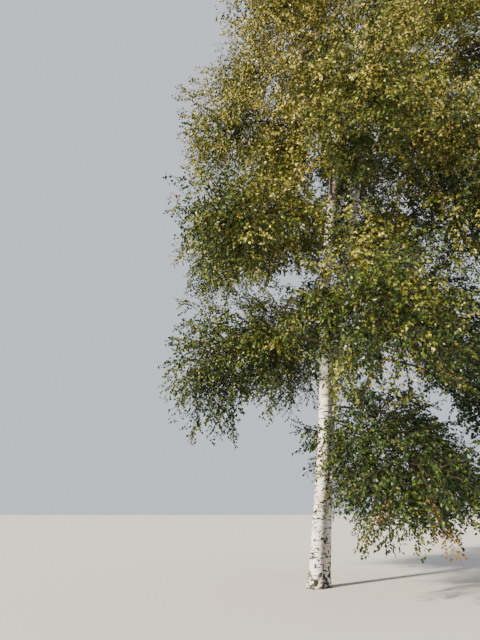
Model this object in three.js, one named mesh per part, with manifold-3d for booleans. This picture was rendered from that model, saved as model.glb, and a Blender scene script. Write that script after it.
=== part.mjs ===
// A twin-stemmed birch in late summer leaf, about 20 m tall: two white stems from one foot,
// boughs that arch out and droop, and loose foliage that hangs at the end of every bough.
// Millimetres, +Z up. The origin is the middle of the flat cut at ground level, and +X is
// the side on which the crown is widest and sweeps lowest.

import * as THREE from 'three';
import { mergeVertices } from 'three/addons/utils/BufferGeometryUtils.js';
import Module from 'manifold-3d';

const wasm = await Module();
wasm.setup();

// Driving dimensions: the foot and the two stems
const FORK_HEIGHT = 480;
const GAP = 0.3;
const FLARE_HEIGHT = 210;
const STEMS = {
  left: {
    foot: [-90, -60],
    top: 18700,
    taperTop: 19900,
    radius: 129,
    lean: [0.0966, -0.014],
    sway: 50,
    swayPeriod: 8200,
    swayStart: 1000,
    bow: 0,
    bowHeight: 10000,
    onward: 0,
    upright: 12900,
    flare: 0.4,
    roots: 5,
    rootTurn: 0.6,
  },
  right: {
    foot: [140, 100],
    top: 17900,
    taperTop: 19100,
    radius: 101,
    lean: [0.155, 0.03],
    sway: 0,
    swayPeriod: 8200,
    swayStart: 0,
    bow: -200,
    bowHeight: 10000,
    onward: 0.05,
    upright: 14000,
    flare: 0.45,
    roots: 4,
    rootTurn: 3.75,
  },
};
const STEM_TIP_RADIUS = 9;
const SWAY_SETTLED_BY = 1500;
const ROOT_RIDGE = 0.34;
const STEM_SIDES = 10;
const STEM_RINGS = 14;
const FOOT_SIDES = 16;
const FOOT_RINGS = 5;

// Driving dimensions: boughs. Azimuth 0 is +X and 90 is +Y. Rise is the angle above the
// horizontal where the bough leaves the stem, and droop is how far that angle falls by its tip.
const GOLDEN_SHARE = 0.618034;
const GOLDEN_ANGLE = Math.PI * (3 - Math.sqrt(5));
const BOUGH_SIDES = 5;
const BOUGH_RINGS = 3;
const BOUGH_RADIUS_PER_LENGTH = 0.0102;
const BOUGH_TIP_SHARE = 0.16;
const BOUGH_TAPER_POWER = 0.8;
const COLLAR_SWELL = 0.45;
const COLLAR_LENGTH = 110;
const DROOP_POWER = 1.25;
const SWERVE = 16;
const SWERVE_TURNS = 5;
const ARCH_STEPS = 40;
const CROWN_LENGTHS = [2900, 3900];
const CROWN_FULLNESS = [0.28, 0.92];
const CROWN_WIDER_SIDE = 0.13;
const CROWN_RISE = [28, 62];
const CROWN_DROOP = [78, 62];
const BARE_SHARE = 0.3;
const SKIRT_FAN = [-58, 0, 52];
const SKIRT_HEIGHTS = [3250, 3910, 3580];
const SKIRT_LENGTHS = [3100, 3300, 3100];
const SKIRT_RISE = 4;
const SKIRT_DROOP = 64;

// Driving dimensions: foliage. A spray is one leafy branchlet, kept as a flat pointed blade.
const TWIGS_PER_MASS = 7;
const AXIS_RINGS = 4;
const AXIS_TIP_RADIUS = 13;
const TWIG_RADIUS = 17;
const TWIG_TIP_RADIUS = 12;
const REACH_SHORTEST = 700;
const REACH_LONGEST = 1150;
const REACH_LONGEST_AT = 3300;
const REACH_LEADER = 950;
const LEADER_RISE_SHARE = 0.55;
const LEADER_ASIDE = [90, 60];
const SPRAY_LENGTH = 1350;
const SPRAY_WIDTH = 740;
const SPRAY_THICKNESS = 26;
const SPRAY_WIDEST = 0.46;
const SIDE_SPRAYS_OF_TWIG = [0.36, 0.62, 0.88];
const SIDE_SPRAYS_OF_AXIS = [0.22, 0.5, 0.78];

// How twigs and sprays leave their parent. A pair gives the ends of a range, either from the
// foot of the mass to its tip or for the seeded draw.
const TRIES = 9;
const TWIG_PLACES = [0.05, 0.95];
const TWIG_TURN_JITTER = 0.6;
const TWIG_SPREAD = [78, 48];
const TWIG_SPREAD_JITTER = 8;
const TWIG_SAG = 0.15;
const TWIG_FULLNESS = [0.7, 1];
const TWIG_FULLNESS_FROM = 0.15;
const TWIG_SHRINK = 0.6;
const TWIG_LENGTHS = [0.8, 1.15];
const TWIG_HANG = [0.1, 1.1];
const SPRAY_SHRINK = 0.62;
const SPRAY_FORWARD = 0.8;
const SPRAY_ASIDE = [0.5, 1.3];
const SPRAY_HANG = [0.1, 1.3];
const SPRAY_ROLL = [-75, 75];
const SPRAY_SCALE = [0.85, 1.12];
const TIP_HANG = 0.2;

// What foliage keeps clear of, and how finely that is looked at
const SPRAY_APART = 115;
const TWIG_APART = 50;
const TWIG_FOOT_FREE = 120;
const CELL_MARGIN = 120;
const LIMB_CLEARANCE = 90;
const GROUND_CLEARANCE = 920;
const SPRAY_CHECKS = 10;
const SPRAY_ROOT_SAMPLES = 7;
const TWIG_CHECKS = 8;
const AXIS_SAMPLES = 8;
const LIMB_SAMPLES = 24;
const SEED = 41;
const SEED_PER_MASS = 977;
const SEED_PER_TWIG = 31;

// Colours and finish
const BARK_WHITE = { color: 0xcfc6ba, roughness: 0.78, metalness: 0 };
const BARK_BROWN = { color: 0x5a4a40, roughness: 0.82, metalness: 0 };
const LEAF_GREENS = [0x3c5220, 0x4b6224, 0x5d6f2a, 0x77762e];
const LEAF_FINISH = { roughness: 0.7, metalness: 0 };

const UP = new THREE.Vector3(0, 0, 1);
const degrees = THREE.MathUtils.degToRad;

// A seeded run of numbers from 0 to 1, the same on every run
function seeded(seed) {
  let state = seed >>> 0;
  return () => {
    state = (state + 0x6d2b79f5) >>> 0;
    let mixed = Math.imul(state ^ (state >>> 15), state | 1);
    mixed ^= mixed + Math.imul(mixed ^ (mixed >>> 7), mixed | 61);
    return ((mixed ^ (mixed >>> 14)) >>> 0) / 4294967296;
  };
}

function mix(from, to, share) {
  return from + (to - from) * share;
}

function drawn([from, to], random) {
  return mix(from, to, random());
}

// Stems: the middle of the stem and its radius at a height
function stemPoint(stem, height) {
  const { foot, lean, sway, swayPeriod, swayStart, bow, bowHeight, onward, upright } = stem;
  const over = Math.max(0, height - upright);
  const leaning = height - (over * over) / (2 * (stem.taperTop - upright));
  const settle = Math.min(1, height / SWAY_SETTLED_BY);
  const wave = Math.sin((2 * Math.PI * (height - swayStart)) / swayPeriod) * sway * settle;
  const belly = bow * Math.sin((Math.PI * Math.min(height, bowHeight)) / bowHeight)
    + onward * Math.max(0, leaning - bowHeight);
  return new THREE.Vector3(
    foot[0] + lean[0] * leaning + wave + belly,
    foot[1] + lean[1] * leaning,
    height,
  );
}

function stemRadius(stem, height) {
  return stem.radius * (1 - (height / stem.taperTop) ** 2) + STEM_TIP_RADIUS;
}

// Boughs. The rule gives each bough the share of the crown's height where it leaves its stem,
// a length from that share and a rise that steepens towards the top.
function boughLength(share, azimuth) {
  const fullness = Math.sin(Math.PI * mix(...CROWN_FULLNESS, share));
  const widerSide = 1 + CROWN_WIDER_SIDE * Math.cos(azimuth);
  return mix(...CROWN_LENGTHS, fullness) * widerSide;
}

function crownBoughs(stemName, count, lowest, highest, middle, spread, start) {
  const boughs = [];
  for (let index = 0; index < count; index += 1) {
    const share = index / (count - 1);
    const turn = 2 * ((start + index * GOLDEN_SHARE) % 1) - 1;
    const azimuth = degrees(middle + spread * turn);
    boughs.push({
      stem: STEMS[stemName],
      height: mix(lowest, highest, share),
      azimuth,
      length: boughLength(share, azimuth),
      rise: degrees(mix(...CROWN_RISE, share)),
      droop: degrees(mix(...CROWN_DROOP, share)),
      bare: BARE_SHARE,
    });
  }
  return boughs;
}

// The low skirt on the wide side, a fan of boughs that leave the right stem near the ground
// and sweep almost down to it
function skirtBoughs() {
  return SKIRT_FAN.map((azimuth, index) => ({
    stem: STEMS.right,
    height: SKIRT_HEIGHTS[index],
    azimuth: degrees(azimuth),
    length: SKIRT_LENGTHS[index],
    rise: degrees(SKIRT_RISE),
    droop: degrees(SKIRT_DROOP),
    bare: BARE_SHARE,
  }));
}

// Boughs that the crown's shape hangs on: the two long low ones over the skirt, the arching
// one in front, the one above it, and the two steep limbs at the left stem's fork
const LEADING_BOUGHS = [
  { stem: 'right', height: 5150, azimuth: -10, length: 4500, rise: -2, droop: 62, bare: 0.5 },
  { stem: 'right', height: 4550, azimuth: 34, length: 3900, rise: -14, droop: 42, bare: 0.4 },
  { stem: 'left', height: 5500, azimuth: -74, length: 3900, rise: 30, droop: 100, bare: 0.3 },
  { stem: 'left', height: 9700, azimuth: -40, length: 3900, rise: 52, droop: 92, bare: 0.3 },
  { stem: 'left', height: 11250, azimuth: -24, length: 4600, rise: 54, droop: 64, bare: 0.34 },
  { stem: 'left', height: 10950, azimuth: 62, length: 4200, rise: 64, droop: 82, bare: 0.34 },
].map((bough) => ({
  ...bough,
  stem: STEMS[bough.stem],
  azimuth: degrees(bough.azimuth),
  rise: degrees(bough.rise),
  droop: degrees(bough.droop),
}));

const BOUGHS = [
  ...skirtBoughs(),
  ...LEADING_BOUGHS,
  ...crownBoughs('left', 11, 5400, 15900, 183, 97, 0.46),
  ...crownBoughs('right', 7, 6600, 15000, -11, 85, 0.691),
];

// A curve given by its point and its direction at a share of its length
class RuledCurve extends THREE.Curve {
  constructor(pointAt, directionAt) {
    super();
    this.getPoint = pointAt;
    this.getTangent = (share) => directionAt(share).normalize();
  }
}

// The whole arch of a bough, from the middle of its stem to the last leaf of its mass
function archOf(bough) {
  const directionAt = (share) => {
    const angle = bough.rise - bough.droop * share ** DROOP_POWER;
    const swerve = degrees(SWERVE) * Math.sin(share * SWERVE_TURNS + bough.height);
    const azimuth = bough.azimuth + swerve;
    return new THREE.Vector3(
      Math.cos(angle) * Math.cos(azimuth),
      Math.cos(angle) * Math.sin(azimuth),
      Math.sin(angle),
    );
  };
  const points = [stemPoint(bough.stem, bough.height)];
  for (let step = 0; step < ARCH_STEPS; step += 1) {
    const forward = directionAt((step + 0.5) / ARCH_STEPS);
    points.push(points[step].clone().addScaledVector(forward, bough.length / ARCH_STEPS));
  }
  const pointAt = (share) => {
    const place = Math.min(share, 1) * ARCH_STEPS;
    const step = Math.min(Math.floor(place), ARCH_STEPS - 1);
    return points[step].clone().lerp(points[step + 1], place - step);
  };
  return new RuledCurve(pointAt, directionAt);
}

// A tapering limb along a curve from one share of it to another, closed by flat ends.
// The rings keep one direction upwards, so the limb doesn't twist.
function limbGeometry({ curve, from, to, radiusAt, sides, rings, origin, reference, inset = 0 }) {
  const positions = [];
  const indices = [];
  for (let ring = 0; ring <= rings; ring += 1) {
    const share = mix(from, to, ring / rings);
    const tangent = curve.getTangent(share);
    const centre = curve.getPoint(share).sub(origin);
    if (ring === 0) centre.addScaledVector(tangent, inset);
    const across = new THREE.Vector3().crossVectors(tangent, reference).normalize();
    const above = new THREE.Vector3().crossVectors(across, tangent);
    for (let side = 0; side < sides; side += 1) {
      const angle = (2 * Math.PI * side) / sides;
      const radius = radiusAt(share, angle);
      const point = centre.clone()
        .addScaledVector(across, radius * Math.cos(angle))
        .addScaledVector(above, radius * Math.sin(angle));
      positions.push(point.x, point.y, point.z);
    }
  }
  for (let ring = 0; ring < rings; ring += 1) {
    for (let side = 0; side < sides; side += 1) {
      const next = (side + 1) % sides;
      const low = ring * sides;
      const high = low + sides;
      indices.push(low + side, high + side, low + next);
      indices.push(low + next, high + side, high + next);
    }
  }
  for (let side = 1; side < sides - 1; side += 1) {
    const last = rings * sides;
    indices.push(0, side, side + 1);
    indices.push(last, last + side + 1, last + side);
  }
  return closedGeometry(positions, indices);
}

function closedGeometry(positions, indices) {
  const geometry = new THREE.BufferGeometry();
  geometry.setAttribute('position', new THREE.Float32BufferAttribute(positions, 3));
  geometry.setIndex(indices);
  return geometry;
}

// Closed geometry to a solid and back
function solidOf(geometry) {
  const merged = mergeVertices(geometry);
  return new wasm.Manifold(new wasm.Mesh({
    numProp: 3,
    vertProperties: new Float32Array(merged.attributes.position.array),
    triVerts: new Uint32Array(merged.index.array),
  }));
}

function geometryOf(solid) {
  const mesh = solid.getMesh();
  return closedGeometry(Array.from(mesh.vertProperties), Array.from(mesh.triVerts));
}

// The outer skin of the largest body: a sealed hollow is filled and a loose scrap is dropped
function wholeBody(solid) {
  return solid.decompose().reduce((best, body) => (body.volume() > best.volume() ? body : best));
}

function named(name, geometry, origin, finish) {
  const mesh = new THREE.Mesh(geometry, new THREE.MeshStandardMaterial(finish));
  mesh.name = name;
  mesh.position.copy(origin);
  return mesh;
}

// A stem is stacked level rings, so its cut at the fork is flat
function stackedStem(stem, bottom, top, rings, sides, radiusAt, origin) {
  const positions = [];
  const indices = [];
  for (let ring = 0; ring <= rings; ring += 1) {
    const height = mix(bottom, top, ring / rings);
    const centre = stemPoint(stem, height).sub(origin);
    for (let side = 0; side < sides; side += 1) {
      const angle = (2 * Math.PI * side) / sides;
      const radius = radiusAt(height, angle);
      positions.push(
        centre.x + radius * Math.cos(angle),
        centre.y + radius * Math.sin(angle),
        height - origin.z,
      );
    }
  }
  for (let ring = 0; ring < rings; ring += 1) {
    for (let side = 0; side < sides; side += 1) {
      const next = (side + 1) % sides;
      const low = ring * sides;
      const high = low + sides;
      indices.push(low + side, low + next, high + side);
      indices.push(low + next, high + next, high + side);
    }
  }
  for (let side = 1; side < sides - 1; side += 1) {
    const last = rings * sides;
    indices.push(0, side + 1, side);
    indices.push(last, last + side, last + side + 1);
  }
  return closedGeometry(positions, indices);
}

// The foot: both stems flare into root ridges and grow together at the ground
function footRadius(stem, height, angle) {
  const flare = stem.flare * Math.exp(-height / FLARE_HEIGHT);
  const ridge = 1 + ROOT_RIDGE * Math.cos(stem.roots * (angle - stem.rootTurn));
  return stemRadius(stem, height) * (1 + flare * ridge);
}

function trunkFoot() {
  const origin = new THREE.Vector3(0, 0, 0);
  const [left, right] = ['left', 'right'].map((name) => {
    const stem = STEMS[name];
    const radiusAt = (height, angle) => footRadius(stem, height, angle);
    return solidOf(stackedStem(stem, 0, FORK_HEIGHT, FOOT_RINGS, FOOT_SIDES, radiusAt, origin));
  });
  return named('trunk_foot', geometryOf(wholeBody(left.add(right))), origin, BARK_WHITE);
}

function stemGeometry(stem, origin, spare = 0) {
  const radiusAt = (height, angle) => footRadius(stem, height, angle) + spare;
  const bottom = FORK_HEIGHT + GAP;
  return stackedStem(stem, bottom, stem.top, STEM_RINGS, STEM_SIDES, radiusAt, origin);
}

function stemMesh(name) {
  const stem = STEMS[name];
  const origin = stemPoint(stem, FORK_HEIGHT);
  return named(`stem_${name}`, stemGeometry(stem, origin), origin, BARK_WHITE);
}

// A bough: cut to the stem's side at its foot, and ending flat where its mass begins
function limbRadius(bough, share) {
  const base = bough.length * BOUGH_RADIUS_PER_LENGTH;
  const collar = 1 + COLLAR_SWELL * Math.exp((-share * bough.length) / COLLAR_LENGTH);
  return base * mix(1, BOUGH_TIP_SHARE, share ** BOUGH_TAPER_POWER) * collar;
}

function boughMesh(bough, name) {
  const origin = bough.curve.getPoint(0);
  const limb = solidOf(limbGeometry({
    curve: bough.curve,
    from: 0,
    to: bough.bare,
    radiusAt: (share) => limbRadius(bough, share),
    sides: BOUGH_SIDES,
    rings: BOUGH_RINGS,
    origin,
    reference: UP,
  }));
  const stem = solidOf(stemGeometry(bough.stem, origin, GAP));
  return named(name, geometryOf(wholeBody(limb.subtract(stem))), origin, BARK_BROWN);
}

// Foliage. Every mass has an axis, the outer part of its bough's arch or of its stem, and
// keeps to the space that is nearer to its own axis than to any other.
const ARCHED = BOUGHS.map((bough) => ({ ...bough, curve: archOf(bough) }));

// Above the last bough each stem ends in a leader that leans out a little
function leaderOf(stem) {
  const rise = LEADER_RISE_SHARE * (stem.taperTop - stem.top);
  const [bend, lean] = LEADER_ASIDE;
  const pointAt = (share) => {
    const aside = new THREE.Vector3(bend * Math.sin(2 * share), lean * share * share, 0);
    return stemPoint(stem, stem.top + share * rise).add(aside);
  };
  const step = 0.01;
  const directionAt = (share) => pointAt(share + step).sub(pointAt(share - step));
  return new RuledCurve(pointAt, directionAt);
}

function reachOf(length) {
  return mix(REACH_SHORTEST, REACH_LONGEST, length / REACH_LONGEST_AT);
}

const MASSES = [
  ...ARCHED.map((bough) => ({
    curve: bough.curve,
    from: bough.bare,
    rootRadius: limbRadius(bough, bough.bare),
    reach: reachOf(bough.length * (1 - bough.bare)),
    reference: UP,
    seat: bough.curve.getTangent(bough.bare),
  })),
  ...['left', 'right'].map((name) => ({
    curve: leaderOf(STEMS[name]),
    from: 0,
    rootRadius: stemRadius(STEMS[name], STEMS[name].top),
    reach: REACH_LEADER,
    reference: new THREE.Vector3(0, 1, 0),
    seat: UP,
  })),
];

function polyline(curve, from, to, count) {
  const points = [];
  for (let step = 0; step <= count; step += 1) {
    points.push(curve.getPoint(mix(from, to, step / count)));
  }
  return points;
}

MASSES.forEach((mass, index) => {
  mass.number = index;
  mass.axis = polyline(mass.curve, mass.from, 1, AXIS_SAMPLES);
});

// Limbs that foliage stays clear of, each as a run of points with the limb's radius there
function limbRun(pointAt, radiusAt, from, to) {
  const steps = Array.from({ length: LIMB_SAMPLES + 1 }, (_, step) => step / LIMB_SAMPLES);
  const shares = steps.map((step) => mix(from, to, step));
  return { points: shares.map(pointAt), radii: shares.map(radiusAt) };
}

const LIMBS = [
  ...Object.values(STEMS).map((stem) => limbRun(
    (height) => stemPoint(stem, height),
    (height) => stemRadius(stem, height),
    0,
    stem.top,
  )),
  ...ARCHED.map((bough) => limbRun(
    (share) => bough.curve.getPoint(share),
    (share) => limbRadius(bough, share),
    0,
    bough.bare,
  )),
];

const segment = new THREE.Line3();
const nearest = new THREE.Vector3();

function distanceToRun(points, point) {
  let least = Infinity;
  for (let index = 0; index + 1 < points.length; index += 1) {
    segment.set(points[index], points[index + 1]);
    segment.closestPointToPoint(point, true, nearest);
    least = Math.min(least, nearest.distanceTo(point));
  }
  return least;
}

function clearOfLimbs(point) {
  return LIMBS.every(({ points, radii }) => {
    for (let index = 0; index + 1 < points.length; index += 1) {
      segment.set(points[index], points[index + 1]);
      segment.closestPointToPoint(point, true, nearest);
      if (nearest.distanceTo(point) < radii[index] + LIMB_CLEARANCE) return false;
    }
    return true;
  });
}

function inOwnSpace(mass, point) {
  if (point.z < GROUND_CLEARANCE) return false;
  const own = distanceToRun(mass.axis, point) + CELL_MARGIN;
  return MASSES.every((other) => other === mass || distanceToRun(other.axis, point) > own);
}

function fits(mass, points) {
  return points.every((point) => inOwnSpace(mass, point) && clearOfLimbs(point));
}

// A spray: a flat blade from its root, widest near its middle, with a low ridge above
function sprayFrame(root, direction, roll, scale) {
  const along = direction.clone().normalize();
  const level = new THREE.Vector3().crossVectors(along, UP).normalize();
  const across = level.applyAxisAngle(along, roll);
  const normal = new THREE.Vector3().crossVectors(along, across);
  return { root, along, across, normal, scale };
}

function sprayPoint({ root, along, across, normal, scale }, forward, sideways, out = 0) {
  return root.clone()
    .addScaledVector(along, forward * SPRAY_LENGTH * scale)
    .addScaledVector(across, (sideways * SPRAY_WIDTH * scale) / 2)
    .addScaledVector(normal, out * SPRAY_THICKNESS * scale);
}

function spraySamples(spray) {
  const samples = [];
  for (let step = 0; step <= SPRAY_CHECKS; step += 1) {
    const forward = step / SPRAY_CHECKS;
    const wide = forward < SPRAY_WIDEST
      ? forward / SPRAY_WIDEST
      : (1 - forward) / (1 - SPRAY_WIDEST);
    const rows = wide > 0.5 ? [-1, -0.5, 0, 0.5, 1] : [-1, 0, 1];
    rows.forEach((row) => samples.push(sprayPoint(spray, forward, row * wide)));
  }
  return samples;
}

// Three corners of a spray or twig, counterclockwise as seen from its tip
function sprayRing(spray) {
  return [
    sprayPoint(spray, SPRAY_WIDEST, 1),
    sprayPoint(spray, SPRAY_WIDEST, 0, 1),
    sprayPoint(spray, SPRAY_WIDEST, -1),
  ];
}

function twigRing(centre, tangent, spray, radius) {
  const across = spray.across.clone().addScaledVector(tangent, -tangent.dot(spray.across));
  across.normalize();
  const normal = new THREE.Vector3().crossVectors(tangent, across);
  return [-30, 90, 210].map((angle) => centre.clone()
    .addScaledVector(across, radius * Math.cos(degrees(angle)))
    .addScaledVector(normal, radius * Math.sin(degrees(angle))));
}

// A closed skin over rings of three corners, from a flat foot or a point to a point
function skinned(foot, rings, tip, origin) {
  const sides = 3;
  const points = [...(foot ? [foot] : []), ...rings.flat(), tip];
  const first = foot ? 1 : 0;
  const indices = [];
  for (let side = 0; side < sides; side += 1) {
    const next = (side + 1) % sides;
    rings.slice(1).forEach((_, ring) => {
      const low = first + ring * sides;
      const high = low + sides;
      indices.push(low + side, low + next, high + side);
      indices.push(low + next, high + next, high + side);
    });
    const last = first + (rings.length - 1) * sides;
    indices.push(last + side, last + next, points.length - 1);
    if (foot) indices.push(0, first + next, first + side);
  }
  if (!foot) indices.push(0, 2, 1);
  return closedGeometry(points.flatMap((point) => point.clone().sub(origin).toArray()), indices);
}

function lateralGeometry(spray, origin) {
  return skinned(spray.root, [sprayRing(spray)], sprayPoint(spray, 1, 0), origin);
}

// A side twig runs straight out from the axis and ends in a spray
function twigGeometry({ start, tangent, end, spray }, origin) {
  const rings = [
    twigRing(start, tangent, spray, TWIG_RADIUS),
    twigRing(end, tangent, spray, TWIG_TIP_RADIUS),
    sprayRing(spray),
  ];
  return skinned(null, rings, sprayPoint(spray, 1, 0), origin);
}

// A point on the axis as it is built, which runs straight from ring to ring
function axisPoint(mass, share) {
  const ring = Math.min(Math.floor(share * AXIS_RINGS), AXIS_RINGS - 1);
  const [low, high] = [ring, ring + 1]
    .map((count) => mass.curve.getPoint(mix(mass.from, 1, count / AXIS_RINGS)));
  return low.lerp(high, share * AXIS_RINGS - ring);
}

function axisGeometry(mass, spray, origin) {
  const rings = [];
  for (let ring = 0; ring <= AXIS_RINGS; ring += 1) {
    const share = mix(mass.from, 1, ring / AXIS_RINGS);
    const tangent = ring === 0 ? mass.seat.clone() : mass.curve.getTangent(share);
    const centre = mass.curve.getPoint(share);
    if (ring === 0) centre.addScaledVector(tangent, GAP);
    const radius = mix(mass.rootRadius, AXIS_TIP_RADIUS, ring / AXIS_RINGS);
    rings.push(twigRing(centre, tangent, spray, radius));
  }
  rings.push(sprayRing(spray));
  return skinned(null, rings, sprayPoint(spray, 1, 0), origin);
}

// What keeps off the sprays and twigs that its mass already has
function apart(samples, taken) {
  return taken.every(({ points, run }) => samples.every((point) => {
    if (run && distanceToRun(run, point) < TWIG_APART) return false;
    return points.every((other) => other.distanceTo(point) > SPRAY_APART);
  }));
}

// The side twigs leave the axis by the golden angle and lean forward. Each try turns a little
// and is a little shorter, and a twig that never fits is skipped.
function grownTwig(mass, index, taken) {
  const random = seeded(SEED + mass.number * SEED_PER_MASS + index * SEED_PER_TWIG);
  const share = (index + 0.5) / TWIGS_PER_MASS;
  const place = mix(...TWIG_PLACES, share);
  const start = axisPoint(mass, place);
  const forward = mass.curve.getTangent(mix(mass.from, 1, place));
  const across = new THREE.Vector3().crossVectors(forward, mass.reference).normalize();
  const above = new THREE.Vector3().crossVectors(across, forward);
  for (let attempt = 0; attempt < TRIES; attempt += 1) {
    const jitter = mix(-TWIG_TURN_JITTER, TWIG_TURN_JITTER, random());
    const turn = (3 * index + 1) * GOLDEN_ANGLE + mass.number + jitter;
    const wider = mix(-TWIG_SPREAD_JITTER, TWIG_SPREAD_JITTER, random());
    const spread = degrees(mix(...TWIG_SPREAD, share) + wider);
    const tangent = forward.clone().multiplyScalar(Math.cos(spread))
      .addScaledVector(across, Math.sin(spread) * Math.cos(turn))
      .addScaledVector(above, Math.sin(spread) * Math.sin(turn))
      .addScaledVector(UP, -TWIG_SAG)
      .normalize();
    const fullness = Math.sin(Math.PI * mix(TWIG_FULLNESS_FROM, 1, share));
    const shrink = mix(1, TWIG_SHRINK, attempt / TRIES);
    const reach = mass.reach * mix(...TWIG_FULLNESS, fullness) * shrink;
    const end = start.clone().addScaledVector(tangent, reach * drawn(TWIG_LENGTHS, random));
    const direction = tangent.clone().addScaledVector(UP, -drawn(TWIG_HANG, random));
    const roll = degrees(drawn(SPRAY_ROLL, random));
    const spray = sprayFrame(end, direction, roll, shrink * drawn(SPRAY_SCALE, random));
    const run = [start.clone().addScaledVector(tangent, TWIG_FOOT_FREE), end];
    const samples = [...straightRun(run), ...spraySamples(spray)];
    if (fits(mass, samples) && apart(samples, taken)) {
      taken.push({ points: spraySamples(spray), run });
      return { start, tangent, end, spray, random };
    }
  }
  return null;
}

function straightRun([from, to]) {
  const steps = Array.from({ length: TWIG_CHECKS + 1 }, (_, step) => step / TWIG_CHECKS);
  return steps.map((step) => from.clone().lerp(to, step));
}

// A side spray leans out from its twig, alternately to each side, and hangs
function grownSpray(mass, root, tangent, side, random, taken) {
  const level = new THREE.Vector3().crossVectors(tangent, UP).normalize();
  for (let attempt = 0; attempt < TRIES; attempt += 1) {
    const shrink = mix(1, SPRAY_SHRINK, attempt / TRIES);
    const direction = tangent.clone().multiplyScalar(SPRAY_FORWARD)
      .addScaledVector(level, side * drawn(SPRAY_ASIDE, random))
      .addScaledVector(UP, -drawn(SPRAY_HANG, random));
    const roll = degrees(drawn(SPRAY_ROLL, random));
    const spray = sprayFrame(root, direction, roll, shrink * drawn(SPRAY_SCALE, random));
    const samples = spraySamples(spray);
    const free = samples.slice(SPRAY_ROOT_SAMPLES);
    if (fits(mass, samples) && apart(free, taken)) {
      taken.push({ points: free, run: null });
      return spray;
    }
  }
  return null;
}

// A mass: its axis, its side twigs and their sprays, fused into one body
function growMass(mass) {
  const origin = mass.axis[0].clone();
  const random = seeded(SEED + mass.number);
  const tipDirection = mass.curve.getTangent(1).addScaledVector(UP, -TIP_HANG * random());
  const tip = sprayFrame(mass.curve.getPoint(1), tipDirection, mix(-1, 1, random()), 1);
  const taken = [{ points: spraySamples(tip), run: null }];
  let body = solidOf(axisGeometry(mass, tip, origin));
  const sprays = [];
  const add = (spray) => {
    if (spray) sprays.push(spray);
  };
  const twigs = [];
  for (let index = 0; index < TWIGS_PER_MASS; index += 1) {
    const twig = grownTwig(mass, index, taken);
    if (twig) twigs.push(twig);
  }
  SIDE_SPRAYS_OF_AXIS.forEach((share, index) => {
    const root = axisPoint(mass, share);
    const tangent = mass.curve.getTangent(mix(mass.from, 1, share));
    add(grownSpray(mass, root, tangent, index % 2 ? 1 : -1, random, taken));
  });
  twigs.forEach(({ start, end, tangent, random: twigRandom }) => {
    SIDE_SPRAYS_OF_TWIG.forEach((share, index) => {
      const root = start.clone().lerp(end, share);
      add(grownSpray(mass, root, tangent, index % 2 ? 1 : -1, twigRandom, taken));
    });
  });
  twigs.forEach((twig) => {
    body = body.add(solidOf(twigGeometry(twig, origin)));
  });
  sprays.forEach((spray) => {
    body = body.add(solidOf(lateralGeometry(spray, origin)));
  });
  return { geometry: geometryOf(wholeBody(body)), origin };
}

// The tree
const tree = new THREE.Group();
tree.add(trunkFoot());
tree.add(stemMesh('left'));
tree.add(stemMesh('right'));

const numbers = ARCHED.map((_, index) => String(index + 1).padStart(2, '0'));

ARCHED.forEach((bough, index) => {
  tree.add(boughMesh(bough, `bough_${numbers[index]}`));
});

[...numbers, 'top_left', 'top_right'].forEach((ending, index) => {
  const { geometry, origin } = growMass(MASSES[index]);
  const color = LEAF_GREENS[index % LEAF_GREENS.length];
  tree.add(named(`foliage_${ending}`, geometry, origin, { color, ...LEAF_FINISH }));
});

export default tree;
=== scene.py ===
# A twin-stemmed birch in late summer leaf: papery white bark with dark marks, brown boughs
# and twigs, and leaves in sprays that grow on from the boughs by the rule of the solids.
# The rule counts in millimetres, and every mesh is made in metres.
import math

import bpy
import numpy as np
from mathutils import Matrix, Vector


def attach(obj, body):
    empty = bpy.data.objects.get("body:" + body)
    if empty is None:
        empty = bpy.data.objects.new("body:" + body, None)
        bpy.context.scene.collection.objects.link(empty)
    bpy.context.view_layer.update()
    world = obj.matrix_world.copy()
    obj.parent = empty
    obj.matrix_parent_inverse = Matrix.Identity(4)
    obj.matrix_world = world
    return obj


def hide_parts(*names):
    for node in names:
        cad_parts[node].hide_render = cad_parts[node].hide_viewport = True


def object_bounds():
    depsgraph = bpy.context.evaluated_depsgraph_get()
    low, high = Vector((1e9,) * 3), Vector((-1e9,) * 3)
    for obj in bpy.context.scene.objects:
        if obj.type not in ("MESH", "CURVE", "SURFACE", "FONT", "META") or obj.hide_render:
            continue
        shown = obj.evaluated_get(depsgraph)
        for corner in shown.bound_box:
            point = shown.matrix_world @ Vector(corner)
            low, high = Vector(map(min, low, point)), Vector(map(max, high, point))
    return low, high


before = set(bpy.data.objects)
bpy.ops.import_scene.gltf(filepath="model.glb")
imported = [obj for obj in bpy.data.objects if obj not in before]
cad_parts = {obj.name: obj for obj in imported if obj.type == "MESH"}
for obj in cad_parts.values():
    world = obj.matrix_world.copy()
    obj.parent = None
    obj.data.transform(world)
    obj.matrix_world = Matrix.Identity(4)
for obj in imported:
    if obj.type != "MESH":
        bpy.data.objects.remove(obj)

cad_box = [list(corner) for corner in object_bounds()]

MM = 0.001
UP = np.array([0.0, 0.0, 1.0])


def placed(name, data, turn=(0, 0, 0), place=(0, 0, 0)):
    """A new object in the scene, turned by degrees about x, y and z."""
    item = bpy.data.objects.new(name, data)
    item.location = place
    item.rotation_euler = [math.radians(angle) for angle in turn]
    bpy.context.scene.collection.objects.link(item)
    return item


# Camera: held at eye height, 12 m from the foot and a little to its left, tilted up
CAMERA_PLACE = (-1.69, -12.0, 1.6)
CAMERA_TILT = 20.6
LENS = 28.125
FARTHEST = 300.0

camera_data = bpy.data.cameras.new("camera")
camera_data.lens = LENS
camera_data.clip_end = FARTHEST
bpy.context.scene.camera = placed("camera", camera_data, (90 + CAMERA_TILT, 0, 0), CAMERA_PLACE)

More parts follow.
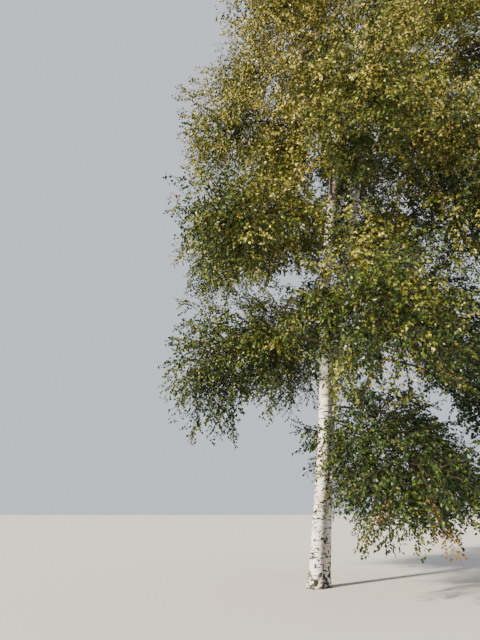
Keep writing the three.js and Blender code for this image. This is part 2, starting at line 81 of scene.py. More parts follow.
# The rule's sizes: foot and stems
FLARE_HEIGHT = 210
SWAY_PERIOD = 8200
SWAY_SETTLED_BY = 1500
BOW_HEIGHT = 10000
STEM_TIP_RADIUS = 9
ROOT_RIDGE = 0.34
STEMS = {
    "left": dict(
        foot=(-90, -60), top=18700, taper_top=19900, upright=12900, radius=129,
        lean=(0.0966, -0.014), sway=50, sway_start=1000, bow=0, onward=0,
        flare=0.4, roots=5, root_turn=0.6, bark_seed=5,
    ),
    "right": dict(
        foot=(140, 100), top=17900, taper_top=19100, upright=14000, radius=101,
        lean=(0.155, 0.03), sway=0, sway_start=0, bow=-200, onward=0.05,
        flare=0.45, roots=4, root_turn=3.75, bark_seed=9,
    ),
}

# The rule's sizes: boughs. A pair gives both ends of a range.
GOLDEN_SHARE = 0.618034
GOLDEN_ANGLE = math.pi * (3 - math.sqrt(5))
BOUGH_RADIUS_PER_LENGTH = 0.0102
BOUGH_TIP_SHARE = 0.16
BOUGH_TAPER_POWER = 0.8
COLLAR_SWELL = 0.45
COLLAR_LENGTH = 110
DROOP_POWER = 1.25
SWERVE = 16
SWERVE_TURNS = 5
ARCH_STEPS = 40
CROWN_LENGTHS = (2900, 3900)
CROWN_FULLNESS = (0.28, 0.92)
CROWN_WIDER_SIDE = 0.13
CROWN_RISE = (28, 62)
CROWN_DROOP = (78, 62)
BARE_SHARE = 0.3

# The rule's sizes: twigs and sprays
TWIGS_PER_MASS = 7
AXIS_TIP_RADIUS = 13
TWIG_RADII = (17, 12)
REACHES = (700, 1150)
REACH_LONGEST_AT = 3300
REACH_LEADER = 950
LEADER_RISE_SHARE = 0.55
LEADER_ASIDE = (90, 60)
LEADER_STEP = 0.01
SPRAY_LENGTH = 1350
SPRAY_WIDTH = 740
SPRAY_WIDEST = 0.46
SIDE_SPRAYS_OF_TWIG = (0.36, 0.62, 0.88)
SIDE_SPRAYS_OF_AXIS = (0.22, 0.5, 0.78)
SOLID_AXIS_RINGS = 4
TRIES = 9
TWIG_PLACES = (0.05, 0.95)
TWIG_TURN_JITTER = (-0.6, 0.6)
TWIG_SPREAD = (78, 48)
TWIG_SPREAD_JITTER = (-8, 8)
TWIG_SAG = 0.15
TWIG_FULLNESS = (0.7, 1)
TWIG_FULLNESS_FROM = 0.15
TWIG_SHRINK = 0.6
TWIG_LENGTHS = (0.8, 1.15)
TWIG_HANG = (0.1, 1.1)
SPRAY_SHRINK = 0.62
SPRAY_FORWARD = 0.8
SPRAY_ASIDE = (0.5, 1.3)
SPRAY_HANG = (0.1, 1.3)
SPRAY_ROLL = (-75, 75)
SPRAY_SCALE = (0.85, 1.12)
TIP_HANG = 0.2
TIP_ROLL = (-1, 1)
SPRAY_APART = 115
TWIG_APART = 50
TWIG_FOOT_FREE = 120
CELL_MARGIN = 120
LIMB_CLEARANCE = 90
GROUND_CLEARANCE = 920
SPRAY_CHECKS = 10
SPRAY_ROOT_SAMPLES = 7
TWIG_CHECKS = 8
AXIS_SAMPLES = 8
LIMB_SAMPLES = 24
SEED = 41
SEED_PER_MASS = 977
SEED_PER_TWIG = 31

# Finer growth than the solids have; the low masses keep theirs shorter
FILL_TRIES = 640
FILL_CELL = 330
FILL_EMPTY_SHARE = 0.42
FILL_MARGIN = 20
FILL_PLACES = (0.03, 1)
FILL_REACHES = (0.35, 1.15)
FILL_SPREAD_JITTER = (-25, 25)
FILL_SHARES = np.array([0.3, 0.55, 0.8, 1])
FILL_SIDES = np.array([-1, 1, -1, 0])
FILL_HANG = (-0.5, 1.8)
FILL_SPRAY_SCALE = (0.7, 0.95)
FILL_RUN = np.array([0.2, 0.5, 0.8])
LOW_MASSES = range(5)
LOW_REACHES = (0.35, 0.9)
LOW_HANG = (-0.4, 1.1)
FINE_SIDE_SPRAYS_OF_TWIG = (0.18, 0.5, 0.76)
FINE_SIDE_SPRAYS_OF_AXIS = (0.08, 0.3, 0.4, 0.6, 0.7, 0.9)
FINE_SPRAY_SIZE = 0.82
FINE_HANG = (-0.5, 0.8)
TWIG_BOW = 0.035
TWIG_BOW_SAG = 0.8


def mix(start, end, share):
    return start + (end - start) * share


def unit(vectors):
    return vectors / np.linalg.norm(vectors, axis=-1, keepdims=True)


def seeded(seed):
    """The rule's run of numbers from 0 to 1, by the mulberry32 steps, the same on every run."""
    mask = 0xFFFFFFFF
    state = seed & mask

    def draw():
        nonlocal state
        state = (state + 0x6D2B79F5) & mask
        mixed = (state ^ (state >> 15)) * (state | 1) & mask
        mixed ^= (mixed + ((mixed ^ (mixed >> 7)) * (mixed | 61) & mask)) & mask
        return (mixed ^ (mixed >> 14)) / 4294967296

    return draw


def drawn(span, random):
    return mix(*span, random())


# Stems and boughs by the rule
def stem_point(stem, height):
    height = np.asarray(height, float)
    over = np.maximum(0, height - stem["upright"])
    leaning = height - over * over / (2 * (stem["taper_top"] - stem["upright"]))
    settle = np.minimum(1, height / SWAY_SETTLED_BY)
    turn = 2 * math.pi * (height - stem["sway_start"]) / SWAY_PERIOD
    belly = stem["bow"] * np.sin(math.pi * np.minimum(height, BOW_HEIGHT) / BOW_HEIGHT)
    belly = belly + stem["onward"] * np.maximum(0, leaning - BOW_HEIGHT)
    x = stem["foot"][0] + stem["lean"][0] * leaning + np.sin(turn) * stem["sway"] * settle
    y = stem["foot"][1] + stem["lean"][1] * leaning
    return np.stack([x + belly, y, height], -1)


def stem_radius(stem, height):
    return stem["radius"] * (1 - (height / stem["taper_top"]) ** 2) + STEM_TIP_RADIUS


def foot_radius(stem, height, angle):
    flare = stem["flare"] * np.exp(-height / FLARE_HEIGHT)
    ridge = 1 + ROOT_RIDGE * np.cos(stem["roots"] * (angle - stem["root_turn"]))
    return stem_radius(stem, height) * (1 + flare * ridge)


def bough(stem, height, azimuth, length, rise, droop, bare=BARE_SHARE):
    azimuth, rise, droop = math.radians(azimuth), math.radians(rise), math.radians(droop)
    shape = dict(azimuth=azimuth, length=length, rise=rise, droop=droop)
    return dict(stem=STEMS[stem], height=height, bare=bare, **shape)


def crown_boughs(stem, count, lowest, highest, middle, spread, start):
    boughs = []
    for index in range(count):
        share = index / (count - 1)
        azimuth = middle + spread * (2 * ((start + index * GOLDEN_SHARE) % 1) - 1)
        fullness = math.sin(math.pi * mix(*CROWN_FULLNESS, share))
        wider_side = 1 + CROWN_WIDER_SIDE * math.cos(math.radians(azimuth))
        length = mix(*CROWN_LENGTHS, fullness) * wider_side
        height = mix(lowest, highest, share)
        rise, droop = mix(*CROWN_RISE, share), mix(*CROWN_DROOP, share)
        boughs.append(bough(stem, height, azimuth, length, rise, droop))
    return boughs


BOUGHS = [
    bough("right", 3250, -58, 3100, 4, 64),
    bough("right", 3910, 0, 3300, 4, 64),
    bough("right", 3580, 52, 3100, 4, 64),
    bough("right", 5150, -10, 4500, -2, 62, 0.5),
    bough("right", 4550, 34, 3900, -14, 42, 0.4),
    bough("left", 5500, -74, 3900, 30, 100, 0.3),
    bough("left", 9700, -40, 3900, 52, 92, 0.3),
    bough("left", 11250, -24, 4600, 54, 64, 0.34),
    bough("left", 10950, 62, 4200, 64, 82, 0.34),
    *crown_boughs("left", 11, 5400, 15900, 183, 97, 0.46),
    *crown_boughs("right", 7, 6600, 15000, -11, 85, 0.691),
]


class Arch:
    """A bough's whole curve, from the middle of its stem to the last leaf of its mass."""

    def __init__(self, source):
        self.source = source
        middles = (np.arange(ARCH_STEPS) + 0.5) / ARCH_STEPS
        steps = self.tangent(middles) * source["length"] / ARCH_STEPS
        start = stem_point(source["stem"], source["height"])
        self.points = start + np.vstack([np.zeros(3), np.cumsum(steps, axis=0)])

    def tangent(self, share):
        source = self.source
        angle = source["rise"] - source["droop"] * share**DROOP_POWER
        swerve = math.radians(SWERVE) * np.sin(share * SWERVE_TURNS + source["height"])
        azimuth = source["azimuth"] + swerve
        level = np.cos(angle)
        return np.stack([level * np.cos(azimuth), level * np.sin(azimuth), np.sin(angle)], -1)

    def point(self, share):
        place = np.minimum(share, 1) * ARCH_STEPS
        step = np.minimum(np.floor(place), ARCH_STEPS - 1).astype(int)
        part = (place - step)[..., None]
        return mix(self.points[step], self.points[step + 1], part)


class Leader:
    """The last shoot of a stem, which leans out a little."""

    def __init__(self, stem):
        self.stem = stem

    def point(self, share):
        rise = LEADER_RISE_SHARE * (self.stem["taper_top"] - self.stem["top"])
        bend, lean = LEADER_ASIDE
        aside = np.stack([bend * np.sin(2 * share), lean * share * share, 0 * share], -1)
        return stem_point(self.stem, self.stem["top"] + share * rise) + aside

    def tangent(self, share):
        return unit(self.point(share + LEADER_STEP) - self.point(share - LEADER_STEP))


def limb_radius(source, share):
    base = source["length"] * BOUGH_RADIUS_PER_LENGTH
    collar = 1 + COLLAR_SWELL * np.exp(-share * source["length"] / COLLAR_LENGTH)
    return base * mix(1, BOUGH_TIP_SHARE, share**BOUGH_TAPER_POWER) * collar


ARCHES = [Arch(source) for source in BOUGHS]


def bough_mass(curve):
    source = curve.source
    length = source["length"] * (1 - source["bare"])
    return {
        "curve": curve,
        "from": source["bare"],
        "root_radius": limb_radius(source, source["bare"]),
        "reach": mix(*REACHES, length / REACH_LONGEST_AT),
        "reference": UP,
    }


def leader_mass(stem):
    return {
        "curve": Leader(stem),
        "from": 0,
        "root_radius": stem_radius(stem, stem["top"]),
        "reach": REACH_LEADER,
        "reference": np.array([0.0, 1.0, 0.0]),
    }


MASSES = [bough_mass(curve) for curve in ARCHES] + [leader_mass(s) for s in STEMS.values()]
for number, mass in enumerate(MASSES):
    mass["number"] = number
    steps = np.linspace(0, 1, AXIS_SAMPLES + 1)
    mass["axis"] = mass["curve"].point(mix(mass["from"], 1, steps))


# Own space: what a twig or spray keeps clear of
def limb_run(point, radius, end):
    places = end * np.linspace(0, 1, LIMB_SAMPLES + 1)
    points = point(places)
    return points[:-1], points[1:], radius(places)[:-1]


LIMBS = [
    limb_run(lambda h, s=s: stem_point(s, h), lambda h, s=s: stem_radius(s, h), s["top"])
    for s in STEMS.values()
] + [
    limb_run(c.point, lambda share, c=c: limb_radius(c.source, share), c.source["bare"])
    for c in ARCHES
]
LIMB_STARTS, LIMB_ENDS, LIMB_RADII = (np.concatenate(parts) for parts in zip(*LIMBS))
AXIS_STARTS = np.concatenate([mass["axis"][:-1] for mass in MASSES])
AXIS_ENDS = np.concatenate([mass["axis"][1:] for mass in MASSES])
NEAR_LIMB = 4300


def distances(points, starts, ends):
    """From each point to each straight segment."""
    along = ends - starts
    away = points[:, None] - starts
    share = (away * along).sum(-1) / (along * along).sum(-1)
    away -= share.clip(0, 1)[..., None] * along
    return np.sqrt((away * away).sum(-1))


for mass in MASSES:
    gap = distances(mass["axis"], LIMB_STARTS, LIMB_ENDS).min(0)
    near = gap < NEAR_LIMB
    mass["limbs"] = LIMB_STARTS[near], LIMB_ENDS[near], LIMB_RADII[near]


def in_own_space(mass, points, margin=CELL_MARGIN):
    """Whether each point is nearer to this mass's axis than to any other, off limbs and ground."""
    gaps = distances(points, AXIS_STARTS, AXIS_ENDS)
    gaps = gaps.reshape(len(points), len(MASSES), AXIS_SAMPLES).min(-1)
    own = gaps[:, mass["number"]].copy()
    gaps[:, mass["number"]] = np.inf
    starts, ends, radii = mass["limbs"]
    clear = (distances(points, starts, ends) >= radii + LIMB_CLEARANCE).all(-1)
    return clear & (gaps.min(-1) > own + margin) & (points[:, 2] >= GROUND_CLEARANCE)


# Finer growth stays within the reach of the solids
BOX_LOW, BOX_HIGH = np.array(cad_box)
PROUD = 0.1


def within_reach(points, proud=PROUD):
    """Whether each point, in metres, lies in the solids' box or only a little outside it."""
    return ((points > BOX_LOW - proud) & (points < BOX_HIGH + proud)).all(-1)


def spray_frame(root, direction, roll, scale):
    along = unit(direction)
    level = unit(np.cross(along, UP))
    roll = np.asarray(roll)[..., None]
    across = level * np.cos(roll) + np.cross(along, level) * np.sin(roll)
    normal = np.cross(along, across)
    return dict(root=root, along=along, across=across, normal=normal, scale=scale)


def spray_outline(share):
    """A spray's width at a share of its length, as a share of its greatest width."""
    return np.minimum(share / SPRAY_WIDEST, (1 - share) / (1 - SPRAY_WIDEST))


def sample_places():
    places = []
    for step in range(SPRAY_CHECKS + 1):
        forward = step / SPRAY_CHECKS
        wide = spray_outline(forward)
        rows = (-1, -0.5, 0, 0.5, 1) if wide > 0.5 else (-1, 0, 1)
        places += [(forward, row * wide) for row in rows]
    return np.array(places)


SAMPLE_PLACES = sample_places()
FEW_PLACES = np.array([(0.2, 0), (SPRAY_WIDEST, 1), (SPRAY_WIDEST, -1), (0.75, 0), (1, 0)])


def spray_samples(spray, places=SAMPLE_PLACES):
    size = np.asarray(spray["scale"])[..., None, None]
    forward = places[:, :1] * SPRAY_LENGTH * size
    sideways = places[:, 1:] * SPRAY_WIDTH * size / 2
    root, along, across = (spray[key][..., None, :] for key in ("root", "along", "across"))
    return root + forward * along + sideways * across


def apart(samples, taken):
    for points, run in taken:
        if run is not None and distances(samples, *run).min() < TWIG_APART:
            return False
        gap = samples[:, None] - points
        if (gap * gap).sum(-1).min() <= SPRAY_APART**2:
            return False
    return True


def has_room(mass, samples, free, taken):
    """Whether a twig or spray fits: clear of the others, or for a finer one within reach."""
    if not in_own_space(mass, samples).all():
        return False
    return within_reach(samples * MM).all() if taken is None else apart(free, taken)


def axis_point(mass, share):
    """A point on the solids' axis, which runs straight from ring to ring."""
    ring = min(math.floor(share * SOLID_AXIS_RINGS), SOLID_AXIS_RINGS - 1)
    shares = np.array([ring, ring + 1]) / SOLID_AXIS_RINGS
    low, high = mass["curve"].point(mix(mass["from"], 1, shares))
    return mix(low, high, share * SOLID_AXIS_RINGS - ring)


def twig_way(mass, place, turn, spread):
    """The way of a side twig, by its turn round the axis and its spread from it."""
    forward = mass["curve"].tangent(place)
    across = unit(np.cross(forward, mass["reference"]))
    aside = across * np.cos(turn) + np.cross(across, forward) * np.sin(turn)
    return unit(forward * np.cos(spread) + aside * np.sin(spread) - UP * TWIG_SAG)


def grown_twig(mass, index, share, taken):
    """A side twig with its end spray, which keeps off those in the taken list."""
    random = seeded(SEED + mass["number"] * SEED_PER_MASS + index * SEED_PER_TWIG)
    along_axis = mix(*TWIG_PLACES, share)
    place = mix(mass["from"], 1, along_axis)
    start = axis_point(mass, along_axis)
    shift = mass["curve"].point(place) - start
    for attempt in range(TRIES):
        turn = (3 * index + 1) * GOLDEN_ANGLE + mass["number"] + drawn(TWIG_TURN_JITTER, random)
        spread = math.radians(mix(*TWIG_SPREAD, share) + drawn(TWIG_SPREAD_JITTER, random))
        tangent = twig_way(mass, place, turn, spread)
        fullness = math.sin(math.pi * mix(TWIG_FULLNESS_FROM, 1, share))
        shrink = mix(1, TWIG_SHRINK, attempt / TRIES)
        reach = mass["reach"] * mix(*TWIG_FULLNESS, fullness) * shrink
        end = start + tangent * reach * drawn(TWIG_LENGTHS, random)
        direction = tangent - UP * drawn(TWIG_HANG, random)
        roll = math.radians(drawn(SPRAY_ROLL, random))
        spray = spray_frame(end, direction, roll, shrink * drawn(SPRAY_SCALE, random))
        run = start + tangent * TWIG_FOOT_FREE, end
        steps = np.linspace(0, 1, TWIG_CHECKS + 1)[:, None]
        samples = np.concatenate([mix(*run, steps), spray_samples(spray)])
        if has_room(mass, samples, samples, taken):
            taken.append((spray_samples(spray), (run[0][None], run[1][None])))
            twig = dict(start=start, end=end, tangent=tangent, shift=shift)
            return dict(twig, spray=spray, random=random)
    return None


def side_of(index):
    """The side that something in a row grows to, turn and turn about."""
    return np.where(index % 2, 1.0, -1.0)


def grown_spray(mass, root, tangent, side, random, taken, size, hang):
    level = unit(np.cross(tangent, UP))
    for attempt in range(TRIES):
        shrink = mix(1, SPRAY_SHRINK, attempt / TRIES)
        aside = level * side * drawn(SPRAY_ASIDE, random)
        direction = tangent * SPRAY_FORWARD + aside - UP * drawn(hang, random)
        roll = math.radians(drawn(SPRAY_ROLL, random))
        spray = spray_frame(root, direction, roll, size * shrink * drawn(SPRAY_SCALE, random))
        samples = spray_samples(spray)
        free = samples[SPRAY_ROOT_SAMPLES:]
        if has_room(mass, samples, free, taken):
            if taken is not None:
                taken.append((free, None))
            return spray
    return None


def grow(mass):
    """A mass's twigs and sprays: first those of the solids, then the finer ones."""
    curve = mass["curve"]
    random = seeded(SEED + mass["number"])
    direction = curve.tangent(1) - UP * TIP_HANG * random()
    tip = spray_frame(curve.point(1), direction, drawn(TIP_ROLL, random), 1)
    taken = [(spray_samples(tip), None)]
    sprays = [tip]
    twigs = []
    for index in range(TWIGS_PER_MASS):
        twig = grown_twig(mass, index, (index + 0.5) / TWIGS_PER_MASS, taken)
        if twig:
            twigs.append(twig)

    # A kind of spray is what it keeps off, its size and how far it hangs
    def add(index, root, tangent, draw, kind):
        spray = grown_spray(mass, root, tangent, side_of(index), draw, *kind)
        if spray:
            sprays.append(spray)

    def add_side_sprays(axis_shares, twig_shares, kind):
        for index, share in enumerate(axis_shares):
            way = curve.tangent(mix(mass["from"], 1, share))
            add(index, axis_point(mass, share), way, random, kind)
        for twig in twigs:
            for index, share in enumerate(twig_shares):
                root = mix(twig["start"], twig["end"], share)
                add(index, root, twig["tangent"], twig["random"], kind)

    add_side_sprays(SIDE_SPRAYS_OF_AXIS, SIDE_SPRAYS_OF_TWIG, (taken, 1, SPRAY_HANG))
    sprays += [twig["spray"] for twig in twigs]
    fine_kind = None, FINE_SPRAY_SIZE, FINE_HANG
    add_side_sprays(FINE_SIDE_SPRAYS_OF_AXIS, FINE_SIDE_SPRAYS_OF_TWIG, fine_kind)
    return twigs, sprays


def cells_of(points):
    return {tuple(cell) for cell in np.floor(points.reshape(-1, 3) / FILL_CELL).astype(int)}


def fill(mass, filled):
    """Finer twigs with their sprays, kept where most of what they reach is still empty."""
    draws = np.random.default_rng(SEED + mass["number"])
    low = mass["number"] in LOW_MASSES
    along_axis = draws.uniform(*FILL_PLACES, FILL_TRIES)
    place = mix(mass["from"], 1, along_axis)
    start = mass["curve"].point(place)
    turn = draws.uniform(0, 2 * math.pi, FILL_TRIES)[:, None]
    jitter = draws.uniform(*FILL_SPREAD_JITTER, FILL_TRIES)
    spread = np.radians(mix(*TWIG_SPREAD, along_axis) + jitter)[:, None]
    tangent = twig_way(mass, place, turn, spread)
    reach = mass["reach"] * draws.uniform(*(LOW_REACHES if low else FILL_REACHES), FILL_TRIES)
    end = start + tangent * reach[:, None]
    run = mix(start[:, None], end[:, None], FILL_RUN[None, :, None])

    shape = FILL_TRIES, len(FILL_SHARES)
    level = unit(np.cross(tangent, UP))[:, None]
    sideways = FILL_SIDES * draws.uniform(*SPRAY_ASIDE, shape)
    hang = draws.uniform(*(LOW_HANG if low else FILL_HANG), shape)[..., None]
    direction = tangent[:, None] * SPRAY_FORWARD + level * sideways[..., None] - UP * hang
    roll = np.radians(draws.uniform(*SPRAY_ROLL, shape))
    scale = draws.uniform(*FILL_SPRAY_SCALE, shape)
    root = mix(start[:, None], end[:, None], FILL_SHARES[None, :, None])
    spray = spray_frame(root, direction, roll, scale)
    samples = spray_samples(spray, FEW_PLACES)
    margin = CELL_MARGIN if low else FILL_MARGIN
    free = in_own_space(mass, samples.reshape(-1, 3), margin).reshape(samples.shape[:3])
    free = (free & within_reach(samples * MM)).all(-1)
    free_run = in_own_space(mass, run.reshape(-1, 3), margin).reshape(run.shape[:2]).all(-1)

    twigs, sprays = [], []
    for attempt in np.flatnonzero(free_run & free[:, -1]):
        own = np.flatnonzero(free[attempt])
        reached = cells_of(samples[attempt, own])
        if len(reached - filled) >= FILL_EMPTY_SHARE * len(reached):
            filled |= reached
            ends = dict(start=start[attempt], end=end[attempt], shift=np.zeros(3))
            twigs.append(dict(ends, tangent=tangent[attempt]))
            for index in own:
                sprays.append({key: value[attempt, index] for key, value in spray.items()})
    return twigs, sprays


def add_growth(growth):
    """Take in what grows from the masses, one mass after another."""
    for number, (more_twigs, more_sprays) in enumerate(growth):
        twigs.extend(more_twigs)
        sprays.extend(dict(spray, mass=number) for spray in more_sprays)


twigs, sprays = [], []
add_growth(grow(mass) for mass in MASSES)
filled = set().union(*(cells_of(spray_samples(spray)) for spray in sprays))
add_growth(fill(mass, filled) for mass in MASSES)


# Meshes from arrays
def mesh_object(name, vertices, quads, triangles, material, smooth):
    """One piece from vertices in metres, faces of four corners and faces of three."""
    mesh = bpy.data.meshes.new(name)
    quads = np.asarray(quads, np.int32).reshape(-1, 4)
    triangles = np.asarray(triangles, np.int32).reshape(-1, 3)
    corners = np.concatenate([quads.ravel(), triangles.ravel()])
    sizes = np.concatenate([np.full(len(quads), 4), np.full(len(triangles), 3)])
    mesh.vertices.add(len(vertices))
    mesh.vertices.foreach_set("co", np.asarray(vertices, np.float32).ravel())
    mesh.loops.add(len(corners))
    mesh.loops.foreach_set("vertex_index", corners)
    mesh.polygons.add(len(sizes))
    mesh.polygons.foreach_set("loop_start", (np.cumsum(sizes) - sizes).astype(np.int32))
    mesh.polygons.foreach_set("use_smooth", np.full(len(sizes), smooth))
    mesh.update(calc_edges=True)
    mesh.materials.append(material)
    piece = placed(name, mesh)
    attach(piece, "root")
    return piece


STEEP = 0.9


def up_or_x(directions):
    """Up for each of these directions, or x where it is too steep for that."""
    return np.where(np.abs(directions[..., 2:]) > STEEP, [1.0, 0.0, 0.0], UP)


def tubes(paths, radii, sides):
    """Tubes along paths of equal length, open at the foot: vertices, quads and tip faces."""
    count, rings = paths.shape[:2]
    tangents = unit(np.gradient(paths, axis=1))
    across = unit(np.cross(tangents, up_or_x(tangents[:, :1])))
    above = np.cross(across, tangents)
    angle = 2 * math.pi * np.arange(sides) / sides
    ring = across[:, :, None] * np.cos(angle)[:, None] + above[:, :, None] * np.sin(angle)[:, None]
    vertices = paths[:, :, None] + ring * radii[:, :, None, None]
    low = np.arange(count * rings * sides).reshape(count, rings, sides)
    beside = np.roll(low, -1, axis=2)
    quads = np.stack([low[:, :-1], low[:, 1:], beside[:, 1:], beside[:, :-1]], -1)
    ends = low[:, -1]
    tips = [np.stack([ends[:, 0], ends[:, k], ends[:, k + 1]], -1) for k in range(1, sides - 1)]
    return vertices.reshape(-1, 3), quads.reshape(-1, 4), np.concatenate(tips)


GLOSS = 0.3


def plain_material(name, color, roughness, specular=GLOSS):
    material = bpy.data.materials.new(name)
    material.use_nodes = True
    shader = material.node_tree.nodes["Principled BSDF"]
    shader.inputs["Base Color"].default_value = (*color, 1)
    shader.inputs["Roughness"].default_value = roughness
    shader.inputs["Specular IOR Level"].default_value = specular
    material.diffuse_color = (*color, 1)
    return material


# Twigs: the masses' axes, the side twigs, the sprays' stalks and the twiglets
TWIG_COLOR = (0.05, 0.034, 0.024)
TWIG_ROUGHNESS = 0.75
AXIS_RINGS = 26
AXIS_SIDES = 7
TWIG_RINGS = 5
TWIG_SIDES = 5
STALK_RINGS = 4
STALK_SIDES = 3
STALK_RADII = (0.0075, 0.0028)
STALK_SAG = 0.1
STALK_WAVE = 0.03

rng = np.random.default_rng(SEED)


def twig_path(twig, shares):
    straight = mix(twig["start"], twig["end"], shares[:, None])
    at_foot = (1 - shares)[:, None] ** 3 * twig["shift"]
    return straight + at_foot + (4 * shares * (1 - shares))[:, None] * twig["bow"]


# The most that each side twig swings and sags away from straight
for twig in twigs:
    length = np.linalg.norm(twig["end"] - twig["start"])
    swing = rng.uniform(-1, 1) * unit(np.cross(twig["tangent"], UP))
    twig["bow"] = length * TWIG_BOW * (swing - TWIG_BOW_SAG * UP)

axis_shares = np.linspace(0, 1, AXIS_RINGS)
axis_paths = np.array([m["curve"].point(mix(m["from"], 1, axis_shares)) for m in MASSES])
axis_radii = np.array([mix(m["root_radius"], AXIS_TIP_RADIUS, axis_shares) for m in MASSES])
twig_shares = np.linspace(0, 1, TWIG_RINGS)
twig_paths = np.array([twig_path(twig, twig_shares) for twig in twigs])
twig_radii = np.tile(mix(*TWIG_RADII, twig_shares), (len(twigs), 1))

roots, alongs, acrosses, normals, scales, owners = (
    np.array([spray[key] for spray in sprays])
    for key in ("root", "along", "across", "normal", "scale", "mass")
)
roots = roots * MM
lengths = scales * SPRAY_LENGTH * MM
phases = rng.uniform(0, 2 * math.pi, len(sprays))


def stalk_point(spray, share):
    """A point on the stalks of these sprays, which sag and wave a little."""
    share = share[..., None]
    length, phase = lengths[spray][..., None], phases[spray][..., None]
    wave = np.sin(2 * math.pi * share + phase) - np.sin(phase)
    return (
        roots[spray]
        + alongs[spray] * length * share
        - UP * length * STALK_SAG * share * share
        + acrosses[spray] * length * STALK_WAVE * wave
    )


stalk_shares = np.linspace(0, 1, STALK_RINGS)
stalk_paths = stalk_point(np.arange(len(sprays))[:, None], stalk_shares)
stalk_radii = mix(*STALK_RADII, stalk_shares)[None] * np.sqrt(scales)[:, None]

# Twiglets leave the stalk to both sides, as long as the spray's outline lets them be
TWIGLET_STEP = 0.105
FEWEST_TWIGLETS = 4
TWIGLET_PLACES = (0.3, 1)
TWIGLET_ANGLES = (36, 64)
TWIGLET_LENGTHS = (0.75, 1.2)
TWIGLET_LEAST = 0.07
TWIGLET_HANG = (0.05, 0.6)
TWIGLET_TURN = 0.3
TWIGLET_RADIUS = 0.0026


def spaced(lengths, step, fewest):
    """For each thing along these lengths: its length's count and number, and its own order."""
    counts = np.maximum(fewest, np.round(lengths / step)).astype(int)
    owner = np.repeat(np.arange(len(counts)), counts)
    order = np.arange(len(owner)) - np.repeat(np.cumsum(counts) - counts, counts)
    return counts[owner], owner, order


def grown_twiglets():
    """For each twiglet: its spray, way, length and foot, to both sides along the stalk."""
    count, spray, order = spaced(lengths, TWIGLET_STEP, FEWEST_TWIGLETS)
    total = len(spray)
    share = (order + rng.uniform(*TWIGLET_PLACES, total)) / count
    angle = np.radians(rng.uniform(*TWIGLET_ANGLES, total))[:, None]
    half_width = spray_outline(share) * scales[spray] * SPRAY_WIDTH * MM / 2
    length = half_width * rng.uniform(*TWIGLET_LENGTHS, total) / np.sin(angle[:, 0])
    length = length + TWIGLET_LEAST
    way = unit(
        alongs[spray] * np.cos(angle)
        + acrosses[spray] * side_of(order)[:, None] * np.sin(angle)
        + normals[spray] * rng.normal(0, TWIGLET_TURN, total)[:, None]
        - UP * rng.uniform(*TWIGLET_HANG, total)[:, None]
    )
    foot = stalk_point(spray, share)
    reached = within_reach(foot + way * length[:, None], 2 * PROUD)
    return [values[reached] for values in (spray, way, length, foot)]


twiglet_spray, twiglet_way, twiglet_length, twiglet_foot = grown_twiglets()


def spikes(feet, ways, lengths, radius):
    """Three-sided spikes, open at the foot, which is sunk in what they grow from."""
    across = unit(np.cross(ways, up_or_x(ways)))
    above = np.cross(across, ways)
    turns = np.radians([0, 120, 240])
    corners = [feet + radius * (across * math.cos(t) + above * math.sin(t)) for t in turns]
    vertices = np.stack([*corners, feet + ways * lengths[:, None]], 1)
    first = 4 * np.arange(len(feet))[:, None, None]
    faces = first + np.array([[0, 3, 1], [1, 3, 2], [2, 3, 0]])
    return vertices.reshape(-1, 3), faces.reshape(-1, 3)


twig_bark = plain_material("twig_bark", TWIG_COLOR, TWIG_ROUGHNESS)


def joined_tubes(name, *runs):
    """Several runs of tubes as one piece, each tube closed at its tip."""
    vertices, quads, triangles, first = [], [], [], 0
    for paths, radii, sides in runs:
        some, faces, tips = tubes(paths, radii, sides)
        vertices.append(some)
        quads.append(faces + first)
        triangles.append(tips + first)
        first += len(some)
    parts = [np.concatenate(part) for part in (vertices, quads, triangles)]
    return mesh_object(name, *parts, twig_bark, True)


axis_run = axis_paths * MM, axis_radii * MM, AXIS_SIDES
twig_piece = joined_tubes("twigs", axis_run, (twig_paths * MM, twig_radii * MM, TWIG_SIDES))
stalk_piece = joined_tubes("spray_stalks", (stalk_paths, stalk_radii, STALK_SIDES))
points, faces = spikes(twiglet_foot, twiglet_way, twiglet_length, TWIGLET_RADIUS)
twiglet_piece = mesh_object("twiglets", points, [], faces, twig_bark, False)

# Leaves: alternate along each twiglet and at its tip, hanging a little
LEAF_STEP = 0.033
FEWEST_LEAVES = 2
LEAF_FIRST = 0.6
LEAF_LENGTH = (0.056, 0.088)
LEAF_WIDTH = 0.76
LEAF_STALK = (0.006, 0.02)
LEAF_FORWARD = 0.55
LEAF_ASIDE = 0.8
LEAF_ASIDE_SCATTER = 0.3
LEAF_HANG = (0.15, 1.1)
LEAF_SCATTER = 0.35
LEAF_FACING_UP = 0.4
LEAF_FACING_SCATTER = 0.7
LEAF_FOLD = 0.1
# Corners of a leaf as shares of its length, half width and fold: foot, one side, tip, other side
LEAF_OUTLINE = np.array([(0, 0, 0), (0.36, 1, 1), (1, 0, -0.5), (0.36, -1, 1)])
LEAF_FACES = np.array([(0, 2, 1), (0, 3, 2)])
MOST_LEAVES = 95000
LOWEST_LEAF = 0.75
LIMB_GAP = 0.02
LIMB_BOX_MARGIN = 0.3
POINTS_AT_ONCE = 20000

